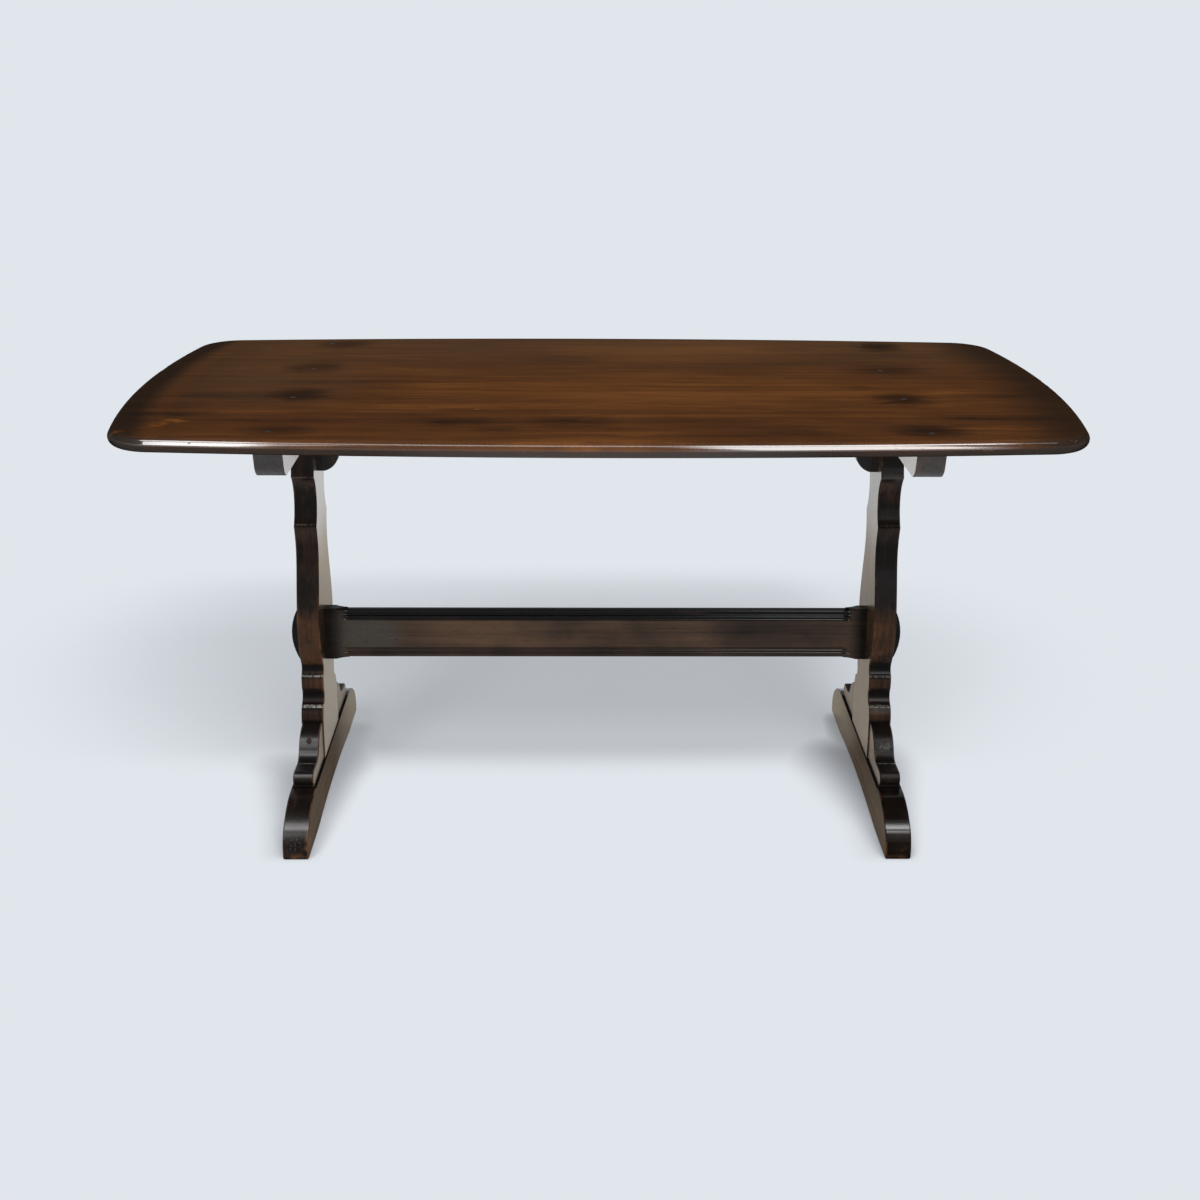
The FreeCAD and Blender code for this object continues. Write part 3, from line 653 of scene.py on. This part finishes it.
legMarks = {
    # height, half width and strength of the painted highlight where two coves meet
    "ridgeHighlights": [(0.1738, 0.0009, 0.9), (0.2253, 0.0008, 0.7), (0.4985, 0.0006, 0.16),
               (0.5823, 0.0006, 0.16)],
    "ridgeSoft": 0.0011,
    "ridgeShare": (1.0, 0.34),         # left and right trestle, as in all such pairs
    # height, reach and strength of painted shade, in the coves and on the front above the belly
    "coveShades": [(0.1900, 0.0085, 0.95), (0.2380, 0.0090, 0.95), (0.5150, 0.0300, 0.60),
              (0.1540, 0.0120, 0.45), (0.4700, 0.0500, 0.30), (0.4050, 0.0600, 0.50)],
    "coveCore": 0.4,                   # share of the reach that is fully dark
    # height, half width and soft width of the rubbed belly
    "belly": (0.292, 0.022, 0.045),
    "bellyTone": (0.52, 0.21), "bellyRub": 0.25,
    # the same and the added tone of two paler rounds
    "rounds": [(0.2125, 0.006, 0.006, 0.34), (0.1600, 0.005, 0.005, 0.30)],
    # the same and the strength of the shine on the upper rounds, which adds gloss and lightens the
    # colour as a painted sheen
    "shines": [(0.483, 0.006, 0.022, 1.0), (0.572, 0.004, 0.018, 1.0)],
    "paintedSheenTone": 0.15, "shinePolish": 0.45, "polish": 0.18,
    # a darker line at the joint above the foot
    "jointDarkShare": 0.8,
    # wax on the broad faces, and how clear it is
    "lowPart": (0.22, 0.30), "topPart": (0.40, 0.54),
    "wax": (1.03, 0.61), "lowWax": (1.37, 0.64), "topWax": 0.5,
    "lowClear": (0.22, 0.0), "topClear": 0.85,
    "bareBelow": (0.28, 0.33), "bareShare": (0.9, 0.0),
}


def legExtra(finish, at):
    marks = legMarks
    ridgeHighlights = finish.largest([finish.band(at.z, height, halfWidth, marks["ridgeSoft"]) * strength
                             for height, halfWidth, strength in marks["ridgeHighlights"]])
    core = marks["coveCore"]
    coveShades = finish.largest([finish.band(at.z, height, reach * core, reach * (1 - core)) * strength
                            for height, reach, strength in marks["coveShades"]])
    belly = finish.band(at.z, *marks["belly"])
    shine = finish.bands(at.z, marks["shines"])
    lift = belly * sided(at, marks["bellyTone"]) + finish.bands(at.z, marks["rounds"])
    jointDark = finish.fall(at.z, *frameLook["footJointDark"]) * marks["jointDarkShare"]
    low = finish.fall(at.z, *marks["lowPart"])
    top = finish.rise(at.z, *marks["topPart"])
    wax = sided(at, marks["wax"]) + low * sided(at, marks["lowWax"]) + top * marks["topWax"]
    return {
        # the shine also lightens the colour as a painted sheen
        "tone": (lift + shine * marks["paintedSheenTone"]) * at.edgeFace,
        "rubbed": belly * at.edgeFace * marks["bellyRub"],
        # painted shade in the coves, and a darker line at the joint above the foot
        "shadeAndJointDark": finish.larger(jointDark, coveShades * at.edgeFace),
        # painted highlights on the ridges
        "highlightAndScuff": ridgeHighlights * at.edgeFace * sided(at, marks["ridgeShare"]),
        "polish": marks["polish"] + shine * marks["shinePolish"],
        "wax": wax,
        "clear": top * marks["topClear"] + low * sided(at, marks["lowClear"]),
        "arrisWear": finish.fall(at.z, *marks["bareBelow"]) * sided(at, marks["bareShare"]),
    }


footMarks = {
    # middle and reach along X, Y and Z, and strength
    "wear": [(-0.471, -0.282, 0.022, 0.006, 0.030, 0.030, 1.6),
             (-0.485, -0.284, 0.004, 0.030, 0.020, 0.012, 0.9),
             (0.490, -0.284, 0.004, 0.040, 0.020, 0.008, 0.5)],
    "scuffs": [(-0.494, -0.282, 0.026, 0.026, 0.030, 0.036, 0.8)],
    "scratchCells": (260.0, 120.0, 700.0), "scratchLean": 420.0,
    "scratchNoise": (0.52, 0.68), "scratchShare": 0.24,
    # a darker line where the leg and the ears stand: along Z, along Y from the middle, share
    "joint": (0.0765, 0.0785), "covered": (0.186, 0.188), "footJointShare": 0.85,
    "tone": (0.0, -0.10),
    # polish where the toe looks up, elsewhere, and what the broad faces lose
    "polishStart": (0.55, 0.72), "polish": (0.56, 0.06), "facePolishLoss": 0.9,
    "wax": (0.26, 0.34), "farPart": (-0.05, 0.25), "farWax": 0.92,
    "bareBefore": (-0.20, -0.14), "bareShare": (0.9, 0.0),
}


def footExtra(finish, at):
    marks = footMarks
    place = finish.vector(at.x, at.y, at.z)
    # the left toe is scratched
    across, along, up = marks["scratchCells"]
    lean = at.z * up + at.x * marks["scratchLean"]
    scratches = finish.noise(finish.vector(at.x * across, at.y * along, lean), detail=3.0,
                             roughness=0.65)
    scratches = finish.rise(scratches, *marks["scratchNoise"]) * marks["scratchShare"]
    footJoint = finish.rise(at.z, *marks["joint"]) * finish.fall(abs(at.y), *marks["covered"])
    polish = finish.larger(finish.rise(at.nz, *marks["polishStart"]), sided(at, marks["polish"]))
    far = finish.rise(at.y, *marks["farPart"])
    return {
        "tone": sided(at, marks["tone"]),
        "rubbed": finish.patches(place, marks["wear"]),
        "highlightAndScuff": finish.patches(place, marks["scuffs"]) * scratches * (1.0 - at.broadFace),
        "shadeAndJointDark": footJoint * marks["footJointShare"],
        "polish": polish * (1.0 - at.broadFace * marks["facePolishLoss"]),
        "wax": sided(at, marks["wax"]) + far * marks["farWax"],
        "arrisWear": finish.fall(at.y, *marks["bareBefore"]) * sided(at, marks["bareShare"]),
    }


earMarks = {
    "edgeTone": -0.15,
    # the painted highlight along the scroll: from the middle along Y, half width, soft width, share
    "scrollHighlight": [(0.1490, 0.0004, 0.0016, 0.5)],
    # pale scuffs round the plug of the right front ear: middle, reach and strength
    "scuffs": [(0.491, -0.113, 0.125, 0.018, 0.034, 0.013, 1.0)],
    "scuffCells": (420.0, 160.0, 260.0), "scuffNoise": (0.46, 0.66),
    "scuffLeast": 0.06, "scuffShare": 0.42,
    # a darker line at the joint against the leg, from the middle along Y
    "legJointDark": (0.0790, 0.0815), "jointDarkShare": 0.85,
    "polish": (0.70, 0.12), "bareShare": (0.55, 0.0),
}


def earExtra(finish, at):
    marks = earMarks
    jointDark = finish.larger(finish.fall(at.z, *frameLook["footJointDark"]),
                          finish.fall(abs(at.y), *marks["legJointDark"]))
    line = finish.bands(abs(at.y), marks["scrollHighlight"])
    broken = finish.noise(finish.cells(at, *marks["scuffCells"]), detail=3.0, roughness=0.7)
    broken = finish.rise(broken, *marks["scuffNoise"]) * marks["scuffShare"] + marks["scuffLeast"]
    scuffs = finish.patches(finish.vector(at.x, at.y, at.z), marks["scuffs"]) * broken
    return {
        "tone": at.edgeFace * marks["edgeTone"],
        # the painted highlight along the scroll, and pale scuffs
        "highlightAndScuff": finish.larger(line, scuffs) * at.edgeFace,
        "shadeAndJointDark": jointDark * marks["jointDarkShare"],
        "polish": sided(at, marks["polish"]),
        "arrisWear": sided(at, marks["bareShare"]),
    }


bearerMarks = {"endStart": (0.5, 0.8), "endSheenTone": 0.15, "endPolish": 3.0, "wax": 1.6,
               "clear": 0.8}


# The bearers' ends shine more, and are lightened with a painted sheen
def bearerExtra(finish, at):
    marks = bearerMarks
    endGrain = finish.rise(abs(at.ny), *marks["endStart"])
    return {"tone": endGrain * marks["endSheenTone"], "polish": endGrain * marks["endPolish"] + 1.0,
            "wax": marks["wax"], "clear": marks["clear"]}


stretcherMarks = {
    "height": 0.284,                   # of its middle
    # the mouldings: from the middle along Z, where they stop along X, and the groove's normals
    "moulding": (0.0245, 0.0262), "mouldingEnd": (0.432, 0.448), "groove": (0.55, 0.98),
    # painted shade in the grooves; the mouldings' darker tone, with painted shade on the upper one;
    # painted shadow beside the legs
    "grooveShade": 0.7,
    "mouldingTone": 0.15, "upperShadeTone": 0.45, "upperStart": (0.28, 0.29),
    "nearLeg": (0.437, 0.466), "legShadowTone": 0.4, "legShadowShare": 0.35,
    # middle and reach along X and Z, strength: paler, darker, and a painted grey sheen at the left
    # end
    "warm": [(-0.24, 0.284, 0.20, 0.05, 0.2)],
    "dark": [(0.30, 0.284, 0.16, 0.06, 0.3)],
    "greySheenPlace": (-0.395, 0.284), "greySheenReach": (0.075, 0.070), "greySheenShare": 0.75,
    "greySheenCore": 0.45,
    "drift": 2.0,
    "tone": 0.1,
}


def stretcherExtra(finish, at):
    marks = stretcherMarks
    moulding = finish.rise(abs(at.z - marks["height"]), *marks["moulding"])
    moulding = moulding * finish.fall(abs(at.x), *marks["mouldingEnd"])
    upper = finish.rise(at.z, *marks["upperStart"])
    nearLeg = finish.rise(abs(at.x), *marks["nearLeg"])
    spots = finish.vector(at.x + at.grain["wander"] * marks["drift"], at.z, 0.0)
    tone = finish.patches(spots, marks["warm"]) - finish.patches(spots, marks["dark"])
    # the upper moulding is darkened with painted shade, and the ends with a painted shadow of the
    # legs
    tone = tone - moulding * (upper * marks["upperShadeTone"] + marks["mouldingTone"])
    tone = tone - nearLeg * marks["legShadowTone"] + marks["tone"]
    # painted shade in the grooves
    groove = moulding * finish.fall(abs(at.ny), *marks["groove"])
    # a painted grey sheen at the left end
    greySheen = finish.patch(spots, marks["greySheenPlace"], marks["greySheenReach"], marks["greySheenShare"],
                        marks["greySheenCore"])
    return {
        "tone": tone,
        "shadeAndJointDark": finish.larger(groove * marks["grooveShade"], nearLeg * marks["legShadowShare"]),
        "sheenVeil": greySheen * (1.0 - moulding),
    }


# Plugs, pegs and screws

plugLook = {"colour": tint(30, 24, 20), "ring": tint(10, 8, 7), "roughness": 0.5,
            "specular": 0.12, "coat": 0.08, "coatRoughness": 0.2,
            "cells": (900.0, 900.0, 900.0), "bump": 0.4, "bumpDepth": 0.0004}
pegLook = {"colour": tint(50, 38, 29), "ring": tint(22, 16, 12), "coat": 0.05}


def plugFinish(name, tones=None):
    look = {**plugLook, **(tones or {})}
    finish = newFinish(name)
    speckle = finish.noise(finish.cells(spotOn(finish), *look["cells"]), detail=3.0,
                           roughness=0.6)
    bump = finish.node("ShaderNodeBump", None, {
        "Strength": look["bump"], "Distance": look["bumpDepth"], "Height": speckle})
    shader = finish.node("ShaderNodeBsdfPrincipled", None, {
        "Base Color": finish.blend(speckle, look["ring"], look["colour"]),
        "Roughness": look["roughness"], "Normal": bump, "Specular IOR Level": look["specular"],
        "Coat Weight": look["coat"], "Coat Roughness": look["coatRoughness"]})
    finish.finishWith(shader)
    return finish.owner


steelLook = {"clean": tint(150, 148, 144), "dull": tint(92, 88, 82), "roughness": 0.36,
             "cloudRoughness": 0.2, "cells": (500.0, 500.0, 500.0), "bump": 0.2,
             "bumpDepth": 0.0001}


def steelFinish():
    look = steelLook
    finish = newFinish("screwSteel")
    cloud = finish.noise(finish.cells(spotOn(finish), *look["cells"]), detail=3.0,
                         roughness=0.6)
    bump = finish.node("ShaderNodeBump", None, {
        "Strength": look["bump"], "Distance": look["bumpDepth"], "Height": cloud})
    shader = finish.node("ShaderNodeBsdfPrincipled", None, {
        "Base Color": finish.blend(cloud, look["dull"], look["clean"]), "Metallic": 1.0,
        "Roughness": look["roughness"] + (cloud - 0.5) * look["cloudRoughness"],
        "Normal": bump})
    finish.finishWith(shader)
    return finish.owner


# Finishes on the pieces

def dress(name, material):
    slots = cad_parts[name].data.materials
    slots.clear()
    slots.append(material)


# The middle and half the thickness of a piece along X, on the right-hand side
def thicknessOf(name):
    across = [abs(corner[0]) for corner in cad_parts[name].bound_box]
    return (max(across) + min(across)) / 2, (max(across) - min(across)) / 2


topWood = topFinish()
for place in ("front", "inner_front", "inner_back", "back"):
    dress("top_board_" + place, topWood)
print("top dressed")

# piece: its wood, the way its grain runs, its seed, whether it is sawn from a board with
# broad faces, its own marks and the values that differ from frameLook
trestlePieces = {
    "leg": ("legWood", "Z", 1.0, True, legExtra, {"slantCoat": 0.08}),
    "foot": ("footWood", "Y", 2.1, True, footExtra, {"slantCoat": 0.0, "specular": 0.0}),
    "bearer": ("bearerWood", "Y", 3.4, True, bearerExtra, {}),
    "knee_bracket": ("bracketWood", "Z", 4.2, False, None, {}),
    "ear_front": ("earWood_front", "Y", 6.0, True, earExtra, {"coatRoughness": 0.30}),
    "ear_back": ("earWood_back", "Y", 7.0, True, earExtra, {"coatRoughness": 0.30}),
}
# the left trestle's seeds are moved on by this, and its foot is duller
sideShift = {"right": 0.0, "left": 5.3}
footCoatRoughness = {"right": 0.12, "left": 0.24}

for side, shift in sideShift.items():
    for piece, (wood, grainAxis, seed, isSawn, extra, tones) in trestlePieces.items():
        if piece == "foot":
            tones = {**tones, "coatRoughness": footCoatRoughness[side]}
        name = piece + "_" + side
        sawn = thicknessOf(name) if isSawn else None
        dress(name, frameFinish(wood + "_" + side, grainAxis, seed + shift, sawn, extra, tones))
print("trestles dressed")

stretcherTones = {"light": tint(86, 64, 46), "middle": tint(56, 42, 32), "faceCoat": 0.10,
                  "slantCoat": 0.08, "contrast": 0.55}
dress("stretcher", frameFinish("stretcherWood", "X", 9.1, None, stretcherExtra, stretcherTones))
plugWood = plugFinish("plugWood")
pegWood = plugFinish("pegWood", pegLook)
screwSteel = steelFinish()
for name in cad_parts:
    if name == "top_screw_plugs":
        dress(name, plugWood)
    elif "peg" in name or "plugs" in name:
        dress(name, pegWood)
    elif "screws" in name:
        dress(name, screwSteel)
print("stretcher and fastenings dressed")


# Floor and surroundings

stageLook = {
    "colour": tint(225, 230, 236),
    "size": 900.0,
    # the floor shows its own plain colour, and takes light and shadow only in these zones.
    # Under the table: middle X, middle Y, reach along X, reach along Y, share and core,
    # where it starts in front and ends at the back, and what it loses towards the right
    "middleZone": (-0.10, 0.60, 1.25, 0.90, 0.56),
    "middleCore": 0.55,
    "middleFront": (0.0, 0.14),
    "middleBack": (0.90, 1.16),
    "middleRight": (0.42, 0.62), "middleRightLoss": 0.5,
    # Beside the feet: the foot's face, the way that the zone spreads, the part of its reach
    # at full share, its reach at Y 0, its growth per metre, the growth added behind Y 0,
    # its share, and where it fades at the back
    "footZones": [(-0.511, -1, 0.25, 0.120, 0.26, 0.55, 0.97, -0.02, 0.22),
                  (-0.469, 1, 0.0, 0.071, 0.17, 0.32, 0.72, 0.20, 0.34),
                  (0.469, -1, 0.0, 0.122, 0.34, 0.34, 0.93, 0.10, 0.26),
                  (0.469, -1, 0.0, 0.065, 0.0, 0.0, 0.85, 0.24, 0.34),
                  (0.511, 1, 0.0, 0.0915, 0.245, 0.0, 0.97, 0.02, 0.26)],
    "footFront": (-0.300, -0.262),
    "footInside": (-0.024, -0.020),            # under the foot the zone ends here
    "leastReach": 0.01,
    "skyLight": (0.22, 0.225, 0.235, 1.0),     # plain light above the pale backdrop
    "backdropTop": 0.10,                       # rise over distance where it ends
    "backdropSoft": 0.12,
}


# How far the floor takes light and shadow, from 0 to the zones' shares
def floorZones(finish, x, y):
    look = stageLook
    *sizes, share = look["middleZone"]
    zone = finish.patch(finish.vector(x, y, 0.0), sizes[:2], sizes[2:], share, look["middleCore"])
    zone = zone * finish.rise(y, *look["middleFront"]) * finish.fall(y, *look["middleBack"])
    zone = zone * (1.0 - finish.rise(x, *look["middleRight"]) * look["middleRightLoss"])
    front = finish.rise(y, *look["footFront"])
    behind = finish.larger(y, 0.0)
    for face, way, core, reach, growth, added, strength, fade, end in look["footZones"]:
        distance = (x - face) * way
        size = finish.larger(y * growth + behind * added + reach, look["leastReach"])
        beside = finish.fall(distance / size, core, 1.0) * strength
        beside = beside * finish.rise(distance, *look["footInside"])
        zone = finish.larger(zone, beside * front * finish.fall(y, fade, end))
    return zone


def makeFloor():
    look = stageLook
    half = look["size"] / 2
    corners = [(-half, -half, 0), (half, -half, 0), (half, half, 0), (-half, half, 0)]
    mesh = bpy.data.meshes.new("floor")
    mesh.from_pydata(corners, [], [(0, 1, 2, 3)])
    floor = bpy.data.objects.new("floor", mesh)
    bpy.context.scene.collection.objects.link(floor)
    finish = newFinish("floorPaint")
    at = spotOn(finish)
    own = 1.0 - floorZones(finish, at.x, at.y)
    lit = finish.node("ShaderNodeBsdfDiffuse", None, {"Color": look["colour"]})
    plain = finish.node("ShaderNodeEmission", None, {"Color": look["colour"], "Strength": 1.0})
    shown = finish.largest([
        finish.node("ShaderNodeLightPath", output=ray)
        for ray in ("Is Camera Ray", "Is Glossy Ray", "Is Transmission Ray")])
    finish.finishWith(finish.node("ShaderNodeMixShader", None, {0: shown * own, 1: lit, 2: plain}))
    mesh.materials.append(finish.owner)


# A pale backdrop all round, under plain light from above
def makeSky():
    look = stageLook
    world = bpy.data.worlds.new("surroundings")
    bpy.context.scene.world = world
    finish = Finish(world)
    upward = finish.split(finish.node("ShaderNodeTexCoord", output="Generated"))[2]
    above = finish.rise(upward, look["backdropTop"], look["backdropTop"] + look["backdropSoft"])
    colour = finish.blend(above, look["colour"], look["skyLight"])
    light = finish.node("ShaderNodeBackground", None, {"Color": colour, "Strength": 1.0})
    finish.node("ShaderNodeOutputWorld", None, {"Surface": light}, output=None)


makeFloor()
makeSky()
print("floor and surroundings made")


# Lamps: azimuth is turned from straight in front of the table towards its right

lampTable = {
    "overheadBox": {"azimuth": 0.0, "elevation": 63.0, "distance": 7.0, "width": 9.0,
                    "height": 1.8, "brightness": 5.8},
    "rightWindow": {"azimuth": 17.0, "elevation": 27.0, "distance": 9.0, "width": 2.3,
                    "height": 7.6, "brightness": 4.8},
    "leftWindow": {"azimuth": -28.0, "elevation": 24.0, "distance": 9.0, "width": 2.2,
                   "height": 6.6, "brightness": 7.0},
}
lampTarget = Vector((0.0, 0.0, 0.60))


def makeLamps():
    for name, lamp in lampTable.items():
        turn = math.radians(lamp["azimuth"])
        lift = math.radians(lamp["elevation"])
        away = Vector((math.sin(turn) * math.cos(lift), -math.cos(turn) * math.cos(lift),
                       math.sin(lift)))
        data = bpy.data.lights.new(name, "AREA")
        data.shape = "RECTANGLE"
        data.size = lamp["width"]
        data.size_y = lamp["height"]
        data.energy = lamp["brightness"] * math.pi * lamp["width"] * lamp["height"]
        light = bpy.data.objects.new(name, data)
        light.location = lampTarget + away * lamp["distance"]
        light.rotation_mode = "QUATERNION"
        light.rotation_quaternion = away.to_track_quat("Z", "Y")
        bpy.context.scene.collection.objects.link(light)


makeLamps()
print("lamps placed")


# Camera, at the photograph's place and framing

cameraLook = {
    "place": (-0.03217, -2.5560, 1.32906),
    "turn": 0.0144,            # radians
    "tilt": 0.2918,
    "roll": -0.0065,
    "sensor": 36.0,
    "lens": 47.1336,
    "shiftX": -0.00042,
    "shiftY": -0.09974,
}


def makeCamera():
    look = cameraLook
    turn, tilt, roll = look["turn"], look["tilt"], look["roll"]
    ahead = Vector((math.sin(turn) * math.cos(tilt), math.cos(turn) * math.cos(tilt),
                    -math.sin(tilt)))
    level = Vector((math.cos(turn), -math.sin(turn), 0.0))
    down = ahead.cross(level)
    right = level * math.cos(roll) + down * math.sin(roll)
    below = down * math.cos(roll) - level * math.sin(roll)
    data = bpy.data.cameras.new("camera")
    data.sensor_width = look["sensor"]
    data.lens = look["lens"]
    data.shift_x = look["shiftX"]
    data.shift_y = look["shiftY"]
    camera = bpy.data.objects.new("camera", data)
    axes = Matrix((right, -below, -ahead)).transposed()
    camera.matrix_world = Matrix.Translation(look["place"]) @ axes.to_4x4()
    bpy.context.scene.collection.objects.link(camera)
    bpy.context.scene.camera = camera


makeCamera()
bpy.context.scene.view_settings.view_transform = "Standard"
print("camera set")
